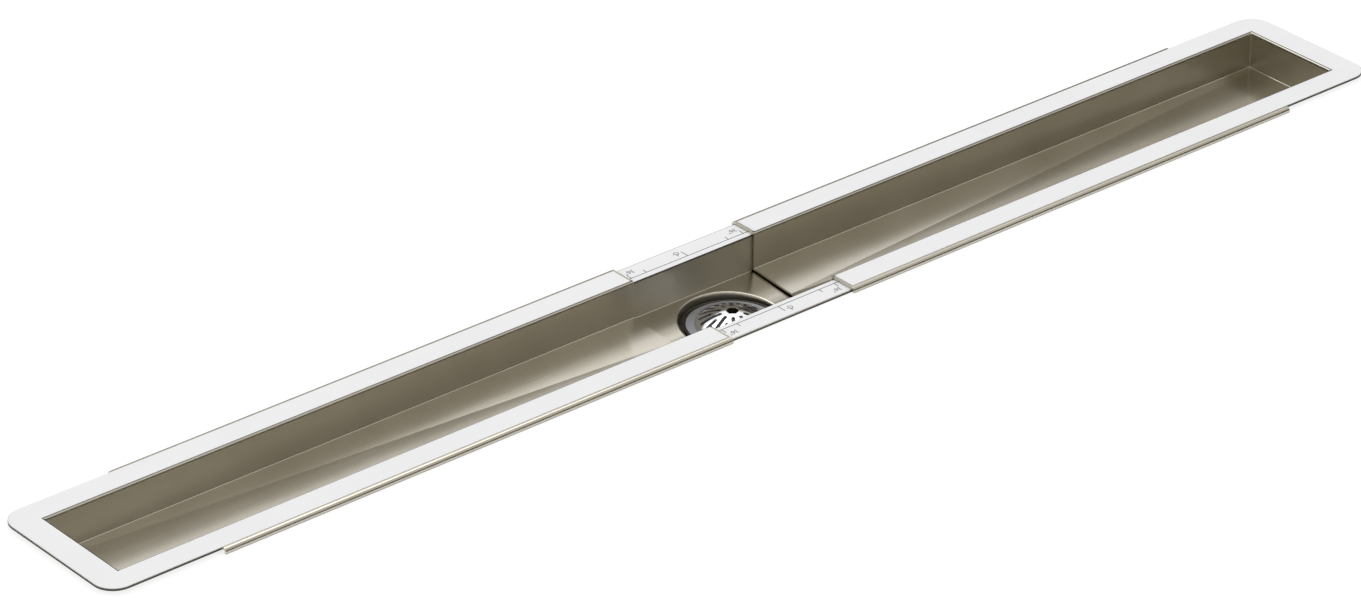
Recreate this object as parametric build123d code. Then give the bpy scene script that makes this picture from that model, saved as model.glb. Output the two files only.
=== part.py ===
from build123d import *
import os

# Telescoping linear shower drain of folded stainless sheet.
# A centre tray carries the outlet. Two end trays nest inside it and slide along X
# to set the length, guided by hems that fold round the centre tray's flanges.
# Frame: X along the drain, Y across it, Z up. The origin is on the outlet axis,
# at the lower end of the outlet spigot, where the drain pipe joins.
# Inside each function heights are counted from the top of the end trays' flange,
# and place() lifts the finished piece into the frame. All sizes are millimetres.

# Sheet and running clearances
sheet = 1.2
slide_clearance = 0.3
film_thickness = 0.2
bend_inside = 0.6
rim_bend = 1.5

# End trays, as seen closed at 36 in. overall
overall_half_length = 457.2
channel_half_width = 32.5
channel_depth = 22.7
side_flange = 16.7
end_flange = 18.0
corner_radius = 12.7
tray_inner_end = 44.0
floor_fall = 2.4
crease_inset = 4.2
hem_end_margin = 71.2
hem_shoulder = 0.7
hem_lip = 3.4

# Slide travel of each end tray: half an inch in, six inches out
slide_in = 12.7
slide_out = 152.4

# Centre tray
centre_end_gap = 2.3
centre_edge_into_hem = 0.2
centre_floor_drop = 0.6
centre_floor_fall = 3.0
valley_bend = 60.0

# Protective films
film_bend_margin = 1.5
film_end_margin = 1.6
film_edge_margin = 0.35
scale_film_bend_margin = 2.4
scale_film_edge_margin = 0.7
scale_film_spare = 4.0

# Outlet seat pressed into the centre tray's floor
seat_depth = 5.85
seat_ring_gap = 4.2
seat_hole_gap = 1.0
lip_radius = 1.1

# Waste flange: a ring with a threaded sleeve and cross bars for the fitter's key
flange_ring_width = 3.4
flange_ring_thickness = 1.0
sleeve_radius = 22.6
sleeve_wall = 3.4
sleeve_length = 17.0
strainer_ledge = 1.8
strainer_step = 6.0
cross_bars = 2
cross_bar_width = 3.2
cross_bar_height = 4.0

# Seals
flange_seal_thickness = 0.8
flange_seal_margin = 0.6
flange_seal_overhang = 1.2
gasket_thickness = 2.0
gasket_width = 5.0

# Waste body under the tray, with a spigot for 2 in. pipe
thread_clearance = 0.1
body_flange_margin = 5.4
body_flange_thickness = 4.0
body_hub_wall = 4.5
body_thread_depth = 15.0
body_cone_height = 5.0
spigot_radius = 30.15
spigot_wall = 3.9
spigot_length = 26.0
spigot_chamfer = 1.0

# Domed strainer, screwed into the waste flange by its rim with a hex key
strainer_wall = 1.2
strainer_rim_rise = 1.6
strainer_dome_height = 6.6
strainer_edge_radius = 2.0
strainer_slots = 10
strainer_slot_width = 2.3
strainer_long_slot_start = 6.2
strainer_short_slot_start = 11.0
strainer_slot_margin = 1.8
strainer_slot_turn = 17.0
key_across_flats = 6.5
key_wall = 1.3
key_depth = 5.0
key_turn = 20.0

# Heights below the end trays' flange top
centre_flange_top = -(sheet + slide_clearance + film_thickness)
hem_gap = 2 * slide_clearance + film_thickness + sheet
hem_inner_radius = hem_gap / 2
hem_outer_radius = hem_inner_radius + sheet
hem_centre_z = -(sheet + hem_inner_radius)
centre_depth = channel_depth + sheet + centre_floor_drop
seat_top = -(centre_depth + seat_depth)
seat_bottom = seat_top - sheet
ring_bottom = seat_top + flange_seal_thickness
ring_top = ring_bottom + flange_ring_thickness
step_top = ring_top - strainer_step
strainer_shoulder = ring_top + strainer_rim_rise
strainer_top = strainer_shoulder + strainer_dome_height
body_top = seat_bottom - gasket_thickness
body_hub_bottom = body_top - body_thread_depth
spigot_top = body_hub_bottom - body_cone_height
spigot_bottom = spigot_top - spigot_length
overall_height = -spigot_bottom

# Radii round the outlet, worked outwards from the threaded sleeve
sleeve_bore_radius = sleeve_radius - sleeve_wall
flange_bore_radius = sleeve_bore_radius + strainer_ledge
flange_ring_radius = sleeve_radius + flange_ring_width
seat_hole_radius = sleeve_radius + seat_hole_gap
seat_radius = flange_ring_radius + seat_ring_gap
gasket_inner_radius = seat_hole_radius + flange_seal_margin
gasket_outer_radius = gasket_inner_radius + gasket_width
body_flange_radius = gasket_outer_radius + body_flange_margin
strainer_radius = flange_bore_radius - thread_clearance

# Half widths and lengths that follow from the above
end_flange_half_width = channel_half_width + side_flange
hem_centre_y = end_flange_half_width + hem_shoulder
channel_end = overall_half_length - end_flange
hem_outer_end = overall_half_length - hem_end_margin
centre_half_width = channel_half_width + sheet + slide_clearance
centre_flange_half_width = hem_centre_y + centre_edge_into_hem
centre_half_length = hem_outer_end - slide_in - centre_end_gap
scale_film_inner = centre_half_width + scale_film_bend_margin
scale_film_half_length = tray_inner_end + slide_out + scale_film_spare


def place(piece):
    """Lift a piece from the flange-top heights into the drain's frame."""
    return Pos(0, 0, overall_height) * piece


def ring(outer, inner, bottom, top):
    """A flat ring round the outlet axis."""
    height = top - bottom
    middle = Pos(0, 0, (top + bottom) / 2)
    return middle * (Cylinder(outer, height) - Cylinder(inner, height + 1))


def disc(radius, bottom, top):
    """A solid disc on the outlet axis."""
    return Pos(0, 0, (top + bottom) / 2) * Cylinder(radius, top - bottom)


def channel_body(grow, start, top, rounding):
    """Convex trough shape of an end tray, grown by the sheet for its outside.

    Its floor is three planes: one down from each long wall and one down from
    the end wall, all falling to the middle of the tray's inner end.
    """
    half_width = channel_half_width + grow
    end = channel_end + grow
    depth = channel_depth + grow
    deepest = depth + floor_fall + sheet
    length = channel_end - tray_inner_end
    height = top + deepest
    body = Pos((start + end) / 2, 0, top - height / 2) * Box(end - start, 2 * half_width, height)
    for side in (-1, 1):
        foot = (0, side * channel_half_width, -depth)
        slope = Plane(origin=foot, z_dir=(0, -side * floor_fall, channel_half_width))
        body = split(body, bisect_by=slope, keep=Keep.TOP)
    end_fall = floor_fall * crease_inset / channel_half_width
    slope = Plane(origin=(channel_end, 0, -depth - end_fall), z_dir=(end_fall - floor_fall, 0, length))
    body = split(body, bisect_by=slope, keep=Keep.TOP)
    low = body.edges().filter_by(lambda edge: edge.center().Z < top - height / 4)
    bends = low.filter_by(Axis.X)
    bends += low.filter_by(lambda edge: edge.center().X > end - 0.01)
    bends = [edge for edge in bends if abs(edge.center().Z + depth) < floor_fall]
    bends += body.edges().filter_by(Axis.Z).filter_by(lambda edge: edge.center().X > end - 0.01)
    return fillet(bends, rounding)


def hem(side):
    """Hem of an end tray: the flange's edge rolled under the centre tray's flange."""
    y = side * hem_centre_y
    outer = Pos(y, hem_centre_z) * Circle(hem_outer_radius)
    inner = Pos(y, hem_centre_z) * Circle(hem_inner_radius)
    bend = outer - inner
    inward = Pos(y - side * hem_outer_radius, hem_centre_z)
    bend = bend - inward * Rectangle(2 * hem_outer_radius, 2 * hem_outer_radius + 1)
    shoulder = Pos(y - side * hem_shoulder, -sheet / 2) * Rectangle(2 * hem_shoulder, sheet)
    lip_z = hem_centre_z - hem_inner_radius - sheet / 2
    lip = Pos(y - side * hem_lip / 2, lip_z) * Rectangle(hem_lip, sheet)
    profile = Plane.YZ.offset(tray_inner_end) * (bend + shoulder + lip)
    return extrude(profile, hem_outer_end - tray_inner_end)


def end_tray():
    """Right end tray: one sheet with three walls, a sloped floor, a flange and two hems."""
    length = overall_half_length - tray_inner_end
    outline = Pos(tray_inner_end + length / 2, 0) * Rectangle(length, 2 * end_flange_half_width)
    outline = fillet(outline.vertices().group_by(Axis.X)[-1], corner_radius)
    tray = extrude(outline, -sheet)
    tray += channel_body(sheet, tray_inner_end, -sheet / 2, bend_inside + sheet)
    tray += hem(1)
    tray += hem(-1)
    tray -= channel_body(0, tray_inner_end - 1, 1, bend_inside)
    opening = tray.edges().filter_by(lambda edge: abs(edge.center().Z) < 0.001)
    opening = opening.filter_by(lambda edge: abs(edge.center().Y) < channel_half_width + 0.001)
    opening = opening.filter_by(lambda edge: tray_inner_end < edge.center().X < channel_end + 0.001)
    return fillet(opening, rim_bend)


def tray_film():
    """Protective film on the right end tray's flange, round three sides of the opening."""
    start = tray_inner_end + film_end_margin
    stop = overall_half_length - film_edge_margin
    half_width = end_flange_half_width - film_edge_margin
    outline = Pos((start + stop) / 2, 0) * Rectangle(stop - start, 2 * half_width)
    outline = fillet(outline.vertices().group_by(Axis.X)[-1], corner_radius - film_edge_margin)
    opening_end = channel_end + film_bend_margin
    opening_half = channel_half_width + film_bend_margin
    opening = Pos((opening_end + start - 1) / 2, 0) * Rectangle(opening_end - start + 1, 2 * opening_half)
    return extrude(outline - opening, film_thickness)


def centre_channel(grow, top):
    """Section of the centre tray's channel, grown by the sheet for its outside."""
    half_width = centre_half_width + grow
    foot = -centre_depth - grow + centre_floor_fall * grow / centre_half_width
    outline = Polygon(
        (-half_width, top),
        (-half_width, foot),
        (0, -centre_depth - centre_floor_fall - grow),
        (half_width, foot),
        (half_width, top),
        align=None,
    )
    valley = [corner for corner in outline.vertices() if abs(corner.X) < 0.001]
    outline = fillet(valley, valley_bend + grow)
    feet = [corner for corner in outline.vertices() if abs(corner.Y - foot) < 0.001]
    return fillet(feet, bend_inside + grow)


def centre_profile():
    """Section of the centre tray: flanges, upright walls and a floor that falls to the middle."""
    flanges = Pos(0, centre_flange_top - sheet / 2) * Rectangle(2 * centre_flange_half_width, sheet)
    section = flanges + centre_channel(sheet, centre_flange_top - sheet / 2) - centre_channel(0, 1)
    rim = [
        corner
        for corner in section.vertices()
        if abs(corner.Y - centre_flange_top) < 0.001 and abs(corner.X) < centre_half_width + 0.001
    ]
    return fillet(rim, rim_bend)


def on_seat_wall(edge):
    """True for an edge that runs round the seat's upright wall, clear of its foot."""
    round_axis = [(end.X**2 + end.Y**2) ** 0.5 for end in edge.vertices()]
    on_wall = all(abs(distance - seat_radius) < 0.01 for distance in round_axis)
    return on_wall and edge.center().Z > seat_top + 1.5 * bend_inside


def centre_tray():
    """Centre tray: folded channel with a round seat pressed into its floor for the outlet."""
    tray = extrude(Plane.YZ * centre_profile(), centre_half_length, both=True)
    tray -= disc(seat_radius, seat_top, centre_flange_top)
    cup = disc(seat_radius + sheet, seat_bottom, -centre_depth)
    cup = fillet(cup.edges().group_by(Axis.Z)[0], bend_inside + sheet)
    hollow = disc(seat_radius, seat_top, 0)
    hollow = fillet(hollow.edges().group_by(Axis.Z)[0], bend_inside)
    cup -= hollow
    cup -= extrude(Plane.YZ * centre_channel(0, 1), centre_half_length, both=True)
    tray += cup
    tray -= disc(seat_hole_radius, seat_bottom - 1, seat_top + 1)
    lip = tray.edges().filter_by(on_seat_wall).filter_by(GeomType.LINE, reverse=True)
    return fillet(lip, lip_radius)


def scale_film(side):
    """Film strip on one flange of the centre tray, which carries the length scale."""
    outer = centre_flange_half_width - scale_film_edge_margin
    middle = side * (scale_film_inner + outer) / 2
    strip = Pos(0, middle) * Rectangle(2 * scale_film_half_length, outer - scale_film_inner)
    return Pos(0, 0, centre_flange_top) * extrude(strip, film_thickness)


def waste_flange():
    """Ring that lies in the seat, with a threaded sleeve and cross bars that a fitter's key turns."""
    sleeve_bottom = ring_bottom - sleeve_length
    body = ring(flange_ring_radius, flange_bore_radius, ring_bottom, ring_top)
    body += disc(sleeve_radius, sleeve_bottom, ring_bottom)
    body -= disc(flange_bore_radius, step_top, ring_top + 1)
    body -= disc(sleeve_bore_radius, sleeve_bottom - 1, step_top + 1)
    bar_length = 2 * (sleeve_radius - sleeve_wall / 2)
    for index in range(cross_bars):
        bar = Pos(0, 0, sleeve_bottom + cross_bar_height / 2)
        bar = bar * Rot(0, 0, 180 / cross_bars * (index + 0.5))
        body += bar * Box(bar_length, cross_bar_width, cross_bar_height)
    return body


def flange_seal():
    """Rubber ring between the waste flange and the seat, squeezed out past the flange's edge."""
    return ring(flange_ring_radius + flange_seal_overhang, sleeve_radius + flange_seal_margin,
                seat_top, ring_bottom)


def tray_gasket():
    """Rubber gasket between the tray's seat and the waste body."""
    return ring(gasket_outer_radius, gasket_inner_radius, body_top, seat_bottom)


def waste_body():
    """Moulded waste body that screws onto the flange's sleeve, with its pipe spigot."""
    thread_radius = sleeve_radius + thread_clearance
    hub_radius = thread_radius + body_hub_wall
    spigot_bore = spigot_radius - spigot_wall
    outline = Polyline(
        (thread_radius, body_top),
        (body_flange_radius, body_top),
        (body_flange_radius, body_top - body_flange_thickness),
        (hub_radius, body_top - body_flange_thickness),
        (hub_radius, body_hub_bottom),
        (spigot_radius, spigot_top),
        (spigot_radius, spigot_bottom + spigot_chamfer),
        (spigot_radius - spigot_chamfer, spigot_bottom),
        (spigot_bore, spigot_bottom),
        (spigot_bore, spigot_top),
        (thread_radius, body_hub_bottom),
        close=True,
    )
    return revolve(Plane.XZ * make_face(outline), Axis.Z)


def dome(radius, foot, shoulder, top, edge_radius):
    """Filled dome: an upright rim with a rounded edge under a spherical cap."""
    rim = Polyline((0, top), (0, foot), (radius, foot), (radius, shoulder))
    cap = TangentArc((0, top), (radius, shoulder), tangent=(1, 0))
    section = make_face(rim + cap)
    edge = [
        corner for corner in section.vertices()
        if abs(corner.X - radius) < 0.001 and abs(corner.Y - shoulder) < 0.001
    ]
    return revolve(Plane.XZ * fillet(edge, edge_radius), Axis.Z)


def slot_cutter(start):
    """Cutter for one radial slot of the strainer, from a starting radius out to the rim."""
    stop = strainer_radius - strainer_slot_margin
    slot = SlotCenterToCenter(stop - start - strainer_slot_width, strainer_slot_width)
    height = strainer_top - step_top + 1
    return Pos((start + stop) / 2, 0, step_top + 1) * extrude(slot, height)


def strainer():
    """Domed strainer: a threaded rim, long and short slots by turns, and a hex hole for the key."""
    inner_radius = strainer_radius - strainer_wall
    inner_top = strainer_top - strainer_wall
    shell = dome(strainer_radius, step_top, strainer_shoulder, strainer_top, strainer_edge_radius)
    shell -= dome(inner_radius, step_top - 1, strainer_shoulder - strainer_wall, inner_top,
                  strainer_edge_radius / 2)
    pitch = 360 / strainer_slots
    for index in range(strainer_slots):
        turn = strainer_slot_turn + pitch * index
        shell -= Rot(0, 0, turn) * slot_cutter(strainer_long_slot_start)
        shell -= Rot(0, 0, turn + pitch / 2) * slot_cutter(strainer_short_slot_start)
    shell += disc(key_across_flats / 2 + key_wall, strainer_top - key_depth, inner_top + strainer_wall / 2)
    key_hole = Rot(0, 0, key_turn) * RegularPolygon(key_across_flats / 2, 6, major_radius=False)
    shell -= Pos(0, 0, strainer_top - key_depth - 1) * extrude(key_hole, key_depth + 2)
    return shell


right_tray = end_tray()
right_film = tray_film()
pieces = {
    "centre_tray": centre_tray(),
    "back_scale_film": scale_film(1),
    "front_scale_film": scale_film(-1),
    "right_end_tray": right_tray,
    "right_tray_film": right_film,
    "left_end_tray": Rot(0, 0, 180) * right_tray,
    "left_tray_film": Rot(0, 0, 180) * right_film,
    "waste_flange": waste_flange(),
    "flange_seal": flange_seal(),
    "tray_gasket": tray_gasket(),
    "waste_body": waste_body(),
    "strainer": strainer(),
}

os.makedirs("parts", exist_ok=True)
for name, piece in pieces.items():
    export_step(place(piece), f"parts/{name}.step")
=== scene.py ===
import bmesh
import bpy
import math
from mathutils import Euler, Matrix, Vector


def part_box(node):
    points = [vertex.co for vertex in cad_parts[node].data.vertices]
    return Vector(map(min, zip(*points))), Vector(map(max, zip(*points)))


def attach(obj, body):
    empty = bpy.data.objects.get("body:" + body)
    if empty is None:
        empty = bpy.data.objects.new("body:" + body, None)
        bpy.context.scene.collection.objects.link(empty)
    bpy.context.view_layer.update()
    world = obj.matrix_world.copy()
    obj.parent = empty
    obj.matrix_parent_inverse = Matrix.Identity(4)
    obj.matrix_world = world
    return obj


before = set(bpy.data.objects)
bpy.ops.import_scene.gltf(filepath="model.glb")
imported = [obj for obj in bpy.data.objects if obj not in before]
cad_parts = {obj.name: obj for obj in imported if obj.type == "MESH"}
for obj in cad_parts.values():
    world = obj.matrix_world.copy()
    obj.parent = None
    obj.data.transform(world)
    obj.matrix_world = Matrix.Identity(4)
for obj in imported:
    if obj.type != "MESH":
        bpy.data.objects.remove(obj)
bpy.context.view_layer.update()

# Centre tray.
# One sheet of type 304 stainless, laser cut, folded into a channel with two narrow
# flanges, with a round seat pressed into its floor. It lies on the floor board.
MM = 0.001
flange_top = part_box("right_end_tray")[1].z
centre_end, centre_side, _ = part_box("centre_tray")[1]
cut_margin = 0.1 * MM
seat_radius = 31.2 * MM
seat_mouth_start = 32.5 * MM
seat_mouth_end = 33.5 * MM
seat_foot = flange_top - 30.4 * MM
seat_wall_height = 2.6 * MM
seat_rub_share = 0.4
# where the painted shadow along the film's edge thins out and ends
dust_thins_at = 0.45 * MM
dust_ends_at = 0.75 * MM
film_lip_reach = 1.63 * MM
scale_film_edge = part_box("back_scale_film")[0].y - film_lip_reach
wall_limit = 0.5  # a face whose normal points up by less than this counts as a wall
cut_limit = 0.3  # and as a cut edge, where it lies past the sheet's outline


def from_srgb(code):
    """Linear colour from a six-digit sRGB hex code."""
    channels = [int(code[i:i + 2], 16) / 255 for i in (1, 3, 5)]
    curve = [c / 12.92 if c <= 0.04045 else ((c + 0.055) / 1.055) ** 2.4 for c in channels]
    return (*curve, 1)


def add(tree, kind, feeds=None, ramp=(), **settings):
    """Add a node.

    Each input in feeds takes a node's first output, one named output or a plain value.
    A ramp is given as positions and colours from left to right. Settings name the
    node's properties, or inputs that take a plain value.
    """
    made = tree.nodes.new("ShaderNode" + kind)
    for key, value in settings.items():
        if hasattr(made, key):
            setattr(made, key, value)
        else:
            made.inputs[key.replace("_", " ")].default_value = value
    for socket, source in (feeds or {}).items():
        if isinstance(source, bpy.types.Node):
            source = source.outputs[0]
        if isinstance(source, bpy.types.NodeSocket):
            tree.links.new(source, made.inputs[socket])
        else:
            made.inputs[socket].default_value = source
    for index, (position, code) in enumerate(ramp):
        stops = made.color_ramp.elements
        stop = stops[index] if index < len(stops) else stops.new(position)
        stop.position = position
        stop.color = from_srgb(code)
    return made


def new_finish(name):
    """A material with an empty node tree, and its output node."""
    finish = bpy.data.materials.new(name)
    finish.use_nodes = True
    finish.node_tree.nodes.clear()
    return finish, finish.node_tree, finish.node_tree.nodes.new("ShaderNodeOutputMaterial")


def put_on(finish, *nodes):
    """Give CAD nodes one finish."""
    for name in nodes:
        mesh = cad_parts[name].data
        mesh.materials.clear()
        mesh.materials.append(finish)


def distance_from_axis(tree, place):
    """How far each point lies from the outlet's axis."""
    flat = add(tree, "VectorMath", {0: place.outputs["Object"], 1: (1, 1, 0)}, operation="MULTIPLY")
    return add(tree, "VectorMath", {0: flat}, operation="LENGTH").outputs["Value"]


def cold_rolled_stainless(
    name, wall_rub, cut_half_length, cut_half_width, cut_from, film_half_width, film_end,
):
    """Cold-rolled 2B stainless sheet: pickled, then rolled once more between polished rolls.

    The eye sees a soft grey mirror with a faint warm cast, clouded by pickling,
    with hairlines along the rolling direction that stretch each highlight. Its walls
    are rougher than its floor by wall_rub. Its laser-cut outer edges are burnt dark
    and rough, past cut_from along the drain. A thin line of painted shadow lies along the
    film's edge, and the seat's wall is painted darker towards its foot as shade. The
    underside, which has no film, is rougher from the folding bench, and its darker tone
    is painted shade.
    """
    finish, tree, out = new_finish(name)
    place = add(tree, "TexCoord")
    facing = add(tree, "SeparateXYZ", {"Vector": place.outputs["Normal"]})
    tilt = add(tree, "Math", {0: facing.outputs["Z"]}, operation="ABSOLUTE")
    distance = add(tree, "VectorMath", {0: place.outputs["Object"]}, operation="ABSOLUTE")
    reach = add(tree, "SeparateXYZ", {"Vector": distance})
    radius = distance_from_axis(tree, place)

    # hairlines are a few hundredths of a millimetre, drawn 0.35 mm wide and 60 mm long to show
    along = add(
        tree, "Mapping", {"Vector": place.outputs["Object"]},
        Scale=(1 / (60 * MM), 1 / (0.35 * MM), 1 / (0.35 * MM)),
    )
    hairline = add(tree, "TexNoise", {"Vector": along}, Scale=1, Detail=2)
    grain = add(tree, "Bump", {"Height": hairline}, Strength=0.03, Distance=0.05 * MM)
    # they run along the sheet, and up the walls that close its ends
    rolling = add(
        tree, "VectorTransform", {"Vector": (1, 0, 0.02)},
        vector_type="VECTOR", convert_from="OBJECT", convert_to="WORLD",
    )
    polish = add(tree, "MapRange", {"Value": hairline}, To_Min=0.15, To_Max=0.22)
    # the bending tool rubs the folded walls duller than the flat floor
    rub = add(
        tree, "MapRange", {"Value": tilt}, From_Min=0.1, From_Max=0.5, To_Min=wall_rub, To_Max=0,
    )
    # the seat is drawn with a polished punch, so its wall is rubbed less than the folded ones
    folded = add(
        tree, "MapRange", {"Value": radius},
        From_Min=seat_mouth_start, From_Max=seat_mouth_end, To_Min=seat_rub_share, To_Max=1,
    )
    rubbed_wall = add(tree, "Math", {0: rub, 1: folded}, operation="MULTIPLY")
    dullness = add(tree, "Math", {0: polish, 1: rubbed_wall}, operation="ADD")

    # pickling clouds are about 45 mm across
    cloud = add(
        tree, "TexNoise", {"Vector": place.outputs["Object"]}, Scale=1 / (45 * MM), Detail=3,
    )
    tone = add(tree, "ValToRGB", {"Fac": cloud}, ramp=((0.30, "#CBC6B9"), (0.72, "#D3CEC2")))
    # painted shadow: a dark line 0.6 mm wide along the film's edge, only where the sheet is level
    past_side = add(tree, "Math", {0: reach.outputs["Y"], 1: film_half_width}, operation="SUBTRACT")
    past_end = add(tree, "Math", {0: reach.outputs["X"], 1: film_end}, operation="SUBTRACT")
    past_film = add(tree, "Math", {0: past_side, 1: past_end}, operation="MAXIMUM")
    from_film = add(tree, "Math", {0: past_film}, operation="ABSOLUTE")
    dust = add(
        tree, "MapRange", {"Value": from_film},
        From_Min=dust_thins_at, From_Max=dust_ends_at, To_Min=1, To_Max=0,
    )
    level = add(tree, "Math", {0: facing.outputs["Z"], 1: wall_limit}, operation="GREATER_THAN")
    dusty = add(tree, "Math", {0: dust, 1: level}, operation="MULTIPLY")
    # the painted shadow at the film's edge is mixed into the sheet's colour
    dulled = add(
        tree, "Mix", {"Factor": dusty, 6: tone, 7: from_srgb("#45423B")}, data_type="RGBA",
    )
    # painted shade: the seat's wall is darker towards its foot
    foot = add(
        tree, "MapRange", {"Value": reach.outputs["Z"]},
        From_Min=seat_foot, From_Max=seat_foot + seat_wall_height, To_Min=1, To_Max=0,
    )
    in_seat = add(tree, "Math", {0: radius, 1: seat_radius}, operation="LESS_THAN")
    baked = add(tree, "Math", {0: foot, 1: in_seat}, operation="MULTIPLY")
    sheet_tone = add(
        tree, "Mix", {"Factor": baked, 6: dulled.outputs[2], 7: from_srgb("#5A564B")},
        data_type="RGBA",
    )
    # with a quarter turn, each highlight is stretched across the hairlines
    steel = add(
        tree, "BsdfPrincipled",
        {
            "Base Color": sheet_tone.outputs[2], "Roughness": dullness,
            "Normal": grain, "Tangent": rolling,
        },
        Metallic=1, Anisotropic=0.7, Anisotropic_Rotation=0.25,
    )

    # rub marks on the underside are about 8 mm apart
    marks = add(tree, "TexNoise", {"Vector": place.outputs["Object"]}, Scale=1 / (8 * MM), Detail=4)
    # the underside's darker tone is painted shade; its rougher finish and rub marks are the sheet's
    # own
    worn = add(tree, "ValToRGB", {"Fac": marks}, ramp=((0, "#8C897F"), (1, "#9D9A90")))
    underside = add(tree, "BsdfPrincipled", {"Base Color": worn}, Metallic=1, Roughness=0.38)
    below = add(
        tree, "MapRange", {"Value": facing.outputs["Z"]},
        From_Min=-0.25, From_Max=-0.05, To_Min=1, To_Max=0,
    )
    sheet_faces = add(tree, "MixShader", {"Fac": below, 1: steel, 2: underside})

    # the burnt edge is where the surface stands upright past the cut outline
    upright = add(tree, "Math", {0: tilt, 1: cut_limit}, operation="LESS_THAN")
    past_length, past_width, past_start = [
        add(tree, "Math", {0: reach.outputs[axis], 1: limit}, operation="GREATER_THAN")
        for axis, limit in (("X", cut_half_length), ("Y", cut_half_width), ("X", cut_from))
    ]
    outline = add(tree, "Math", {0: past_length, 1: past_width}, operation="MAXIMUM")
    outline = add(tree, "Math", {0: outline, 1: past_start}, operation="MULTIPLY")
    burnt = add(tree, "Math", {0: outline, 1: upright}, operation="MULTIPLY")
    # striations of the laser cut are about 0.25 mm apart across the edge
    stria = add(
        tree, "TexNoise", {"Vector": place.outputs["Object"]}, Scale=1 / (0.25 * MM), Detail=1,
    )
    scorch = add(tree, "ValToRGB", {"Fac": stria}, ramp=((0, "#34322F"), (1, "#5A5751")))
    edge = add(tree, "BsdfPrincipled", {"Base Color": scorch}, Metallic=0.4, Roughness=0.6)
    whole = add(tree, "MixShader", {"Fac": burnt, 1: sheet_faces, 2: edge})
    tree.links.new(whole.outputs["Shader"], out.inputs["Surface"])
    return finish


put_on(
    cold_rolled_stainless(
        "stainless_centre", wall_rub=0.32,
        cut_half_length=centre_end - cut_margin, cut_half_width=centre_side - cut_margin,
        cut_from=0, film_half_width=scale_film_edge, film_end=centre_end,
    ),
    "centre_tray",
)

# Scale films and their print.
# White polyethylene film stuck along each flange of the centre tray. A thin grey scale
# is printed on it: a base line, a mark for each inch of overall length, and numbers.
scale_line_y = 38.3 * MM
scale_line_end_gap = 1.0 * MM
first_mark_x = 41.0 * MM
mark_pitch = 12.7 * MM
mark_length = 4.0 * MM
small_mark_x = 30.0 * MM
small_mark_length = 3.3 * MM
centre_mark_length = 6.0 * MM
line_width = 0.5 * MM
print_height = 0.02 * MM
smallest_length = 36
number_size = 4.8 * MM
number_in_from_mark = 3.4 * MM
number_out_from_line = 6.2 * MM
letter_beside_mark = 4.2 * MM
letter_out_from_line = 5.4 * MM
letter_step = 0.7 * MM
lip_thickness = 0.18 * MM
lip_flat = 0.6 * MM
lip_turn = math.radians(35)
lip_turn_steps = 4
bend_radius = 1.8 * MM


def white_film(name, wrinkle):
    """Low-tack polyethylene protection film, cast white and smooth.

    The eye sees an even, slightly glossy white with faint waves where it was laid on.
    """
    finish, tree, out = new_finish(name)
    place = add(tree, "TexCoord")
    # the laid-on waves are about 30 mm apart and under 0.05 mm high
    wave = add(tree, "TexNoise", {"Vector": place.outputs["Object"]}, Scale=1 / (30 * MM), Detail=2)
    relief = add(tree, "Bump", {"Height": wave}, Strength=wrinkle, Distance=0.5 * MM)
    tone = add(tree, "ValToRGB", {"Fac": wave}, ramp=((0, "#ECECEE"), (1, "#F3F3F3")))
    film = add(
        tree, "BsdfPrincipled", {"Base Color": tone, "Normal": relief},
        Roughness=0.42, Specular_IOR_Level=0.35,
    )
    tree.links.new(film.outputs["BSDF"], out.inputs["Surface"])
    return finish


def grey_ink():
    """Flexographic grey ink, thin and matt, slightly worn."""
    finish, tree, out = new_finish("grey_flexographic_ink")
    place = add(tree, "TexCoord")
    # worn spots are about 0.4 mm across
    worn = add(
        tree, "TexNoise", {"Vector": place.outputs["Object"]}, Scale=1 / (0.4 * MM), Detail=1,
    )
    tone = add(tree, "ValToRGB", {"Fac": worn}, ramp=((0, "#3C3C40"), (1, "#55555A")))
    ink = add(tree, "BsdfPrincipled", {"Base Color": tone}, Roughness=0.6)
    tree.links.new(ink.outputs["BSDF"], out.inputs["Surface"])
    return finish


def finished_piece(name, shape, finish):
    """An object at the origin, made from a bmesh and given its finish."""
    mesh = bpy.data.meshes.new(name)
    shape.to_mesh(mesh)
    shape.free()
    mesh.materials.append(finish)
    piece = bpy.data.objects.new(name, mesh)
    bpy.context.scene.collection.objects.link(piece)
    return piece


def printed_bar(print_mesh, x0, x1, y0, y1, z):
    """A flat printed bar between two corners."""
    corners = bmesh.ops.create_grid(print_mesh, x_segments=1, y_segments=1, size=0.5)["verts"]
    bmesh.ops.scale(print_mesh, vec=(x1 - x0, y1 - y0, 1), verts=corners)
    bmesh.ops.translate(print_mesh, vec=((x0 + x1) / 2, (y0 + y1) / 2, z), verts=corners)


def printed_words(print_mesh, words, x, y, z):
    """Flat lettering centred on a point and turned to read from the back of the drain."""
    curve = bpy.data.curves.new("lettering", "FONT")
    curve.body = words
    curve.size = number_size
    curve.align_x = "CENTER"
    curve.align_y = "CENTER"
    holder = bpy.data.objects.new("lettering", curve)
    bpy.context.scene.collection.objects.link(holder)
    bpy.context.view_layer.update()
    laid_out = holder.evaluated_get(bpy.context.evaluated_depsgraph_get())
    flat = bpy.data.meshes.new_from_object(laid_out)
    flat.transform(Matrix.Translation((x, y, z)) @ Matrix.Rotation(math.pi, 4, "Z"))
    print_mesh.from_mesh(flat)
    bpy.data.objects.remove(holder)
    bpy.data.curves.remove(curve)
    bpy.data.meshes.remove(flat)


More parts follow.
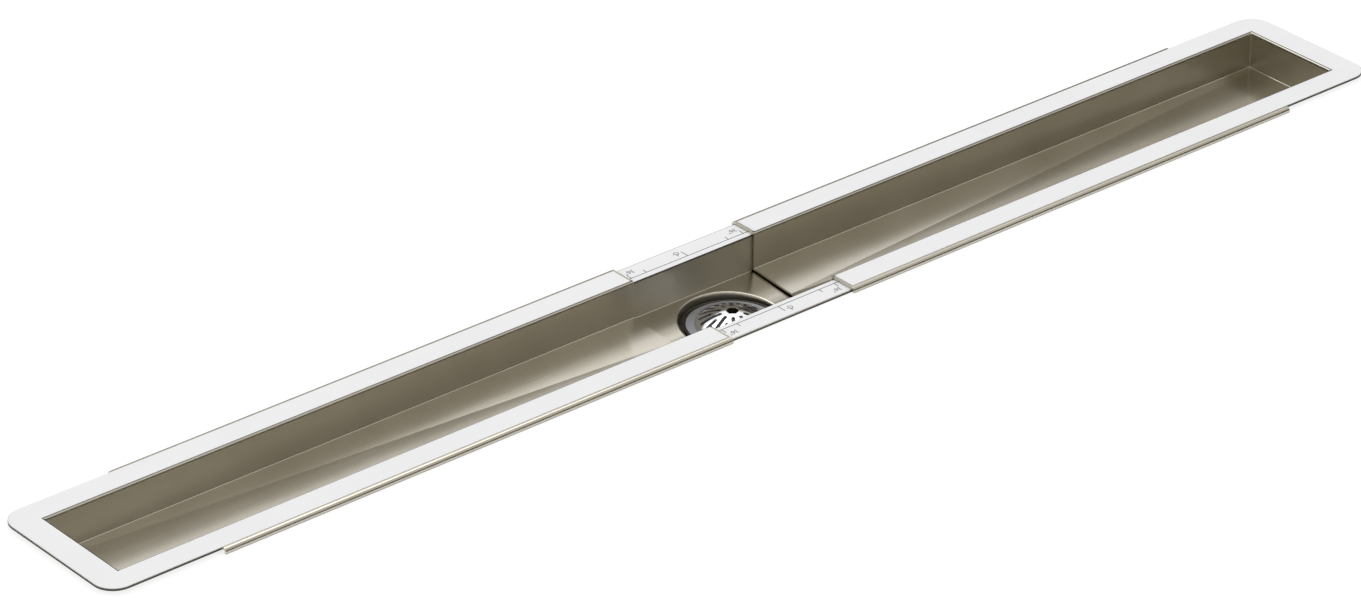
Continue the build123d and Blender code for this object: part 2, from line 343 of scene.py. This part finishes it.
def scale_print(node, side):
    """The printed scale of one film, from its centre mark out to both ends."""
    film_end, _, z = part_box(node)[1]
    line = side * scale_line_y
    half = line_width / 2
    line_end = film_end - scale_line_end_gap
    ink = bmesh.new()
    printed_bar(ink, -line_end, line_end, line - half, line + half, z)
    marks = [
        (0.0, centre_mark_length),
        (-small_mark_x, small_mark_length), (small_mark_x, small_mark_length),
    ]
    count = int((film_end - first_mark_x) / mark_pitch)
    for step in range(count + 1):
        distance = first_mark_x + step * mark_pitch
        marks += [(distance, mark_length), (-distance, mark_length)]
        if step % 2 == 0:
            inches = str(smallest_length + step) + '"'
            for end in (-1, 1):
                x = end * (distance - number_in_from_mark)
                printed_words(ink, inches, x, line + side * number_out_from_line, z)
    for x, length in marks:
        printed_bar(ink, x - half, x + half, line, line + side * length, z)
    for letter, shift in (("C", letter_step), ("L", -letter_step)):
        x = shift - side * letter_beside_mark
        printed_words(ink, letter, x, line + side * letter_out_from_line + shift, z)
    bmesh.ops.recalc_face_normals(ink, faces=ink.faces)
    raised = bmesh.ops.extrude_face_region(ink, geom=ink.faces[:])["geom"]
    lifted = [part for part in raised if isinstance(part, bmesh.types.BMVert)]
    bmesh.ops.translate(ink, vec=(0, 0, print_height), verts=lifted)
    bmesh.ops.recalc_face_normals(ink, faces=ink.faces)
    piece = finished_piece(node.replace("film", "print"), ink, scale_ink)
    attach(piece, "centre")


def film_lip(node, side):
    """The inner edge of one scale film, pressed down over the channel's bend."""
    low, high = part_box(node)
    inner = min(abs(low.y), abs(high.y))
    middle = (0, side * (inner - lip_flat / 2), low.z + lip_thickness / 2)
    bend_centre = (0, side * (inner - lip_flat), low.z - bend_radius)
    lip = bmesh.new()
    strip = bmesh.ops.create_cube(lip, size=1)["verts"]
    bmesh.ops.scale(lip, vec=(high.x - low.x, lip_flat, lip_thickness), verts=strip)
    bmesh.ops.translate(lip, vec=middle, verts=strip)
    lip.normal_update()
    leading = [face for face in lip.faces if side * face.normal.y < -0.9]
    bmesh.ops.spin(
        lip, geom=leading, cent=bend_centre, axis=(1, 0, 0),
        angle=side * lip_turn, steps=lip_turn_steps,
    )
    bmesh.ops.recalc_face_normals(lip, faces=lip.faces)
    piece = finished_piece(node + "_lip", lip, scale_white)
    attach(piece, "centre")


scale_white = white_film("scale_film_polyethylene", wrinkle=0.10)
scale_ink = grey_ink()
put_on(scale_white, "back_scale_film", "front_scale_film")
scale_print("back_scale_film", 1)
scale_print("front_scale_film", -1)
film_lip("back_scale_film", 1)
film_lip("front_scale_film", -1)

# End trays.
# The same stainless sheet, pressed and folded with three walls, a floor that falls to
# the outlet, a wide flange and two hems that run on the centre tray's flanges.
flange_end, hem_side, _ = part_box("right_end_tray")[1]
cut_corner_start = flange_end - 8.0 * MM
cut_flange_edge = hem_side - 7.0 * MM
hem_end = flange_end - 71.2 * MM
film_opening_end = flange_end - 16.5 * MM
film_opening_half = 34.0 * MM
put_on(
    cold_rolled_stainless(
        "stainless_ends", wall_rub=0.13,
        cut_half_length=cut_corner_start, cut_half_width=cut_flange_edge,
        cut_from=hem_end + cut_margin,
        film_half_width=film_opening_half, film_end=film_opening_end,
    ),
    "right_end_tray", "left_end_tray",
)

# End tray films.
# White polyethylene film over each end tray's flange. It stays on until the tiling is
# done, so it is laid on by hand with a slight wave.
put_on(white_film("flange_film_polyethylene", wrinkle=0.22), "right_tray_film", "left_tray_film")


# Waste flange.
# A cast ring with a threaded sleeve, shot-blasted and plated, which clamps the centre
# tray's seat to the waste body below it.
def blasted_casting():
    """Zinc alloy casting, shot-blasted and nickel-plated.

    The eye sees an even neutral grey with a fine sandy sparkle and no clear reflection.
    """
    finish, tree, out = new_finish("blasted_nickel_casting")
    place = add(tree, "TexCoord")
    # blasting pits are about 0.1 mm, drawn 0.35 mm across to show
    pits = add(
        tree, "TexNoise", {"Vector": place.outputs["Object"]}, Scale=1 / (0.35 * MM), Detail=2,
    )
    relief = add(tree, "Bump", {"Height": pits}, Strength=0.25, Distance=0.1 * MM)
    tone = add(tree, "ValToRGB", {"Fac": pits}, ramp=((0.3, "#8D8D92"), (0.7, "#A9A9AE")))
    metal = add(
        tree, "BsdfPrincipled", {"Base Color": tone, "Normal": relief},
        Metallic=0.6, Roughness=0.55,
    )
    tree.links.new(metal.outputs["BSDF"], out.inputs["Surface"])
    return finish


put_on(blasted_casting(), "waste_flange")


# Seals.
# Black rubber rings, die cut from sheet, above and below the tray's seat.
def black_rubber():
    """Ethylene propylene rubber sheet, calendered: matt black with a faint dusty bloom."""
    finish, tree, out = new_finish("calendered_rubber")
    place = add(tree, "TexCoord")
    # bloom lies in patches about 3 mm across
    bloom = add(tree, "TexNoise", {"Vector": place.outputs["Object"]}, Scale=1 / (3 * MM), Detail=3)
    tone = add(tree, "ValToRGB", {"Fac": bloom}, ramp=((0, "#1E1E1F"), (1, "#2C2C2E")))
    rubber = add(tree, "BsdfPrincipled", {"Base Color": tone}, Roughness=0.78)
    tree.links.new(rubber.outputs["BSDF"], out.inputs["Surface"])
    return finish


put_on(black_rubber(), "flange_seal", "tray_gasket")


# Waste body.
# Injection-moulded ABS hub with a spigot for 2 in. pipe, screwed up onto the sleeve.
def moulded_abs():
    """Black ABS from a spark-eroded mould: even satin with a fine leather-like grain."""
    finish, tree, out = new_finish("moulded_abs")
    place = add(tree, "TexCoord")
    # spark-eroded grain is about 0.2 mm, drawn 0.5 mm across to show
    spark = add(tree, "TexVoronoi", {"Vector": place.outputs["Object"]}, Scale=1 / (0.5 * MM))
    relief = add(tree, "Bump", {"Height": spark}, Strength=0.12, Distance=0.1 * MM)
    # the black is mottled in patches about 12 mm across
    mottle = add(
        tree, "TexNoise", {"Vector": place.outputs["Object"]}, Scale=1 / (12 * MM), Detail=3,
    )
    tone = add(tree, "ValToRGB", {"Fac": mottle}, ramp=((0, "#222326"), (1, "#2E2F32")))
    plastic = add(
        tree, "BsdfPrincipled", {"Base Color": tone, "Normal": relief}, Roughness=0.45,
    )
    tree.links.new(plastic.outputs["BSDF"], out.inputs["Surface"])
    return finish


put_on(moulded_abs(), "waste_body")

# Strainer.
# A domed brass cap with milled slots and a hexagon hole for the fitter's key. It is
# chrome-plated and screws into the waste flange by its rim.
key_hole_radius = 3.85 * MM


def polished_chrome():
    """Bright chrome over polished brass: a cold, nearly clean mirror with fine wipe marks.

    The plating doesn't reach into the key hole; the bare brass there is painted near black as shade
    in the hole.
    """
    finish, tree, out = new_finish("polished_chrome_plate")
    place = add(tree, "TexCoord")
    # wipe marks are about 4 mm across
    wipe = add(tree, "TexNoise", {"Vector": place.outputs["Object"]}, Scale=1 / (4 * MM), Detail=4)
    polish = add(tree, "MapRange", {"Value": wipe}, To_Min=0.05, To_Max=0.12)
    chrome = add(
        tree, "BsdfPrincipled", {"Roughness": polish}, Metallic=1, Base_Color=from_srgb("#F6F6F8"),
    )
    # painted shade: the bare brass inside the key hole is near black
    oily = add(tree, "ValToRGB", {"Fac": wipe}, ramp=((0, "#171614"), (1, "#2A2824")))
    bare = add(tree, "BsdfPrincipled", {"Base Color": oily}, Metallic=0.3, Roughness=0.55)
    radius = distance_from_axis(tree, place)
    in_hole = add(tree, "Math", {0: radius, 1: key_hole_radius}, operation="LESS_THAN")
    facing = add(tree, "SeparateXYZ", {"Vector": place.outputs["Normal"]})
    wall = add(tree, "Math", {0: facing.outputs["Z"], 1: wall_limit}, operation="LESS_THAN")
    inside = add(tree, "Math", {0: in_hole, 1: wall}, operation="MULTIPLY")
    whole = add(tree, "MixShader", {"Fac": inside, 1: chrome, 2: bare})
    tree.links.new(whole.outputs["Shader"], out.inputs["Surface"])
    return finish


put_on(polished_chrome(), "strainer")

# Floor.
# The drain lies in its opening in a pale mortar floor, with the hems bedded a little.
# The slot takes the channel at its full length, and a cover fills it past each end tray.
floor_z = flange_top - 3.1 * MM
floor_half = 4.0
slot_half_length = 0.620
slot_half_width = 36.5 * MM
cover_start = flange_end - 16.3 * MM
cover_length = 0.200
cover_drop = 0.05 * MM


def seen_directly(tree):
    """1 for rays from the camera, from a mirror and through glass, otherwise 0."""
    ray = add(tree, "LightPath")
    seen = add(
        tree, "Math", {0: ray.outputs["Is Camera Ray"], 1: ray.outputs["Is Glossy Ray"]},
        operation="MAXIMUM",
    )
    return add(
        tree, "Math", {0: seen, 1: ray.outputs["Is Transmission Ray"]}, operation="MAXIMUM",
    )


def pale_floor():
    """Plain pale floor, white to the eye, with the drain's soft shadow on it.

    It is clear from below, so that the underside of the drain can be looked at.
    """
    finish, tree, out = new_finish("pale_floor")
    ground = add(tree, "BsdfDiffuse", Color=from_srgb("#8C8C8C"))
    glow = add(tree, "Emission", Color=from_srgb("#FFFFFF"), Strength=0.78)
    lit = add(tree, "AddShader", {0: ground, 1: glow})
    bounce = add(tree, "BsdfDiffuse", Color=from_srgb("#D8D8D8"))
    top = add(tree, "MixShader", {"Fac": seen_directly(tree), 1: bounce, 2: lit})
    side = add(tree, "NewGeometry")
    clear = add(tree, "BsdfTransparent")
    both = add(tree, "MixShader", {"Fac": side.outputs["Backfacing"], 1: top, 2: clear})
    tree.links.new(both.outputs["Shader"], out.inputs["Surface"])
    return finish


def all_of(shape):
    """Every vertex, edge and face of a bmesh, for a cut through all of it."""
    return shape.verts[:] + shape.edges[:] + shape.faces[:]


floor_finish = pale_floor()
sheet = bmesh.new()
bmesh.ops.create_grid(sheet, x_segments=1, y_segments=1, size=floor_half)
bmesh.ops.translate(sheet, vec=(0, 0, floor_z), verts=sheet.verts)
for normal, reach in (((1, 0, 0), slot_half_length), ((0, 1, 0), slot_half_width)):
    for end in (-1, 1):
        cut = Vector(normal) * reach * end
        bmesh.ops.bisect_plane(sheet, geom=all_of(sheet), plane_co=cut, plane_no=normal)
hole = [face for face in sheet.faces if face.calc_center_median().xy.length < MM]
bmesh.ops.delete(sheet, geom=hole, context="FACES")
floor = finished_piece("floor", sheet, floor_finish)

for body, end in (("right_tray", 1), ("left_tray", -1)):
    sheet = bmesh.new()
    middle = (end * (cover_start + cover_length / 2), 0, floor_z - cover_drop)
    bmesh.ops.create_grid(sheet, x_segments=1, y_segments=1, size=1)
    bmesh.ops.scale(sheet, vec=(cover_length / 2, slot_half_width, 1), verts=sheet.verts)
    bmesh.ops.translate(sheet, vec=middle, verts=sheet.verts)
    cover = finished_piece(body + "_floor_cover", sheet, floor_finish)
    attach(cover, body)

# Light.
# A white studio with one broad soft box overhead, and a tent of grey card that only the
# metal mirrors. The tent is open to the white overhead and behind the drain.
tent_radius = 10.0
open_towards = Vector((0.275, 0.45, 0.85)).normalized()
opening_starts = 0.850  # cosine of the angle from open_towards where the card starts to thin
opening_clear = 0.885  # and where nothing is left of it
room_strength = 0.86
soft_box_place = Vector((0.5, 1.3, 2.45))


def grey_card():
    """Card that glows with painted light, seen only in the metal: dark and warm where it meets the
    floor, pale grey at the top.
    """
    finish, tree, out = new_finish("grey_card")
    place = add(tree, "TexCoord")
    direction = add(tree, "VectorMath", {0: place.outputs["Object"]}, operation="NORMALIZE")
    height = add(tree, "SeparateXYZ", {"Vector": direction})
    # positions are sines of the angle above the floor
    tone = add(
        tree, "ValToRGB", {"Fac": height.outputs["Z"]},
        ramp=(
            (0.02, "#302E29"), (0.22, "#191714"), (0.39, "#38352F"),
            (0.455, "#BDB4A6"), (0.577, "#D4D3CF"), (1.0, "#D7D6D1"),
        ),
    )
    card = add(tree, "Emission", {"Color": tone}, Strength=1)
    towards = add(tree, "VectorMath", {0: direction, 1: open_towards}, operation="DOT_PRODUCT")
    spread = add(
        tree, "MapRange", {"Value": towards.outputs["Value"]},
        interpolation_type="SMOOTHSTEP", From_Min=opening_starts, From_Max=opening_clear,
    )
    clear = add(tree, "BsdfTransparent")
    whole = add(tree, "MixShader", {"Fac": spread, 1: card, 2: clear})
    tree.links.new(whole.outputs["Shader"], out.inputs["Surface"])
    finish.cycles.emission_sampling = "NONE"
    return finish


card = bmesh.new()
bmesh.ops.create_icosphere(card, subdivisions=4, radius=tent_radius)
bmesh.ops.bisect_plane(
    card, geom=all_of(card), plane_co=(0, 0, 0), plane_no=(0, 0, 1), clear_inner=True,
)
tent = finished_piece("card_tent", card, grey_card())
tent.visible_camera = False
tent.visible_diffuse = False
tent.visible_transmission = False
tent.visible_shadow = False

room = bpy.data.worlds.new("studio")
bpy.context.scene.world = room
room.use_nodes = True
tree = room.node_tree
tree.nodes.clear()
out = tree.nodes.new("ShaderNodeOutputWorld")
white = add(tree, "Background", Color=from_srgb("#FFFFFF"), Strength=1)
soft = add(tree, "Background", Color=from_srgb("#FFFFFF"), Strength=room_strength)
whole = add(tree, "MixShader", {"Fac": seen_directly(tree), 1: soft, 2: white})
tree.links.new(whole.outputs["Shader"], out.inputs["Surface"])

soft_box = bpy.data.lights.new("soft_box", "AREA")
soft_box.shape = "RECTANGLE"
soft_box.size = 2.4
soft_box.size_y = 1.6
soft_box.energy = 14
soft_box_holder = bpy.data.objects.new("soft_box", soft_box)
soft_box_holder.location = soft_box_place
down_to_drain = Vector((0, 0, flange_top)) - soft_box_place
soft_box_holder.rotation_euler = down_to_drain.to_track_quat("-Z", "Y").to_euler()
bpy.context.scene.collection.objects.link(soft_box_holder)

# Camera.
# A long lens, looking down on the drain from its left front, as in the photograph.
look_at = Vector((-36.4 * MM, -1.2 * MM, flange_top))
camera_distance = 3.198
camera_turn = math.radians(-40.348)
camera_down = math.radians(28.932)
camera_roll = math.radians(0.165)
camera = bpy.data.cameras.new("camera")
camera.sensor_width = 36
camera.lens = 153.6
camera.shift_x = -0.0025
camera.shift_y = -0.0002
camera.clip_start = 0.05
camera.clip_end = 50
holder = bpy.data.objects.new("camera", camera)
turn = Euler((math.pi / 2 - camera_down, 0, camera_turn)).to_matrix()
turn = turn @ Matrix.Rotation(camera_roll, 3, "Z")
stand = look_at + turn @ Vector((0, 0, camera_distance))
holder.matrix_world = Matrix.Translation(stand) @ turn.to_4x4()
bpy.context.scene.collection.objects.link(holder)
bpy.context.scene.camera = holder
bpy.context.scene.view_settings.view_transform = "Standard"

bpy.context.view_layer.update()
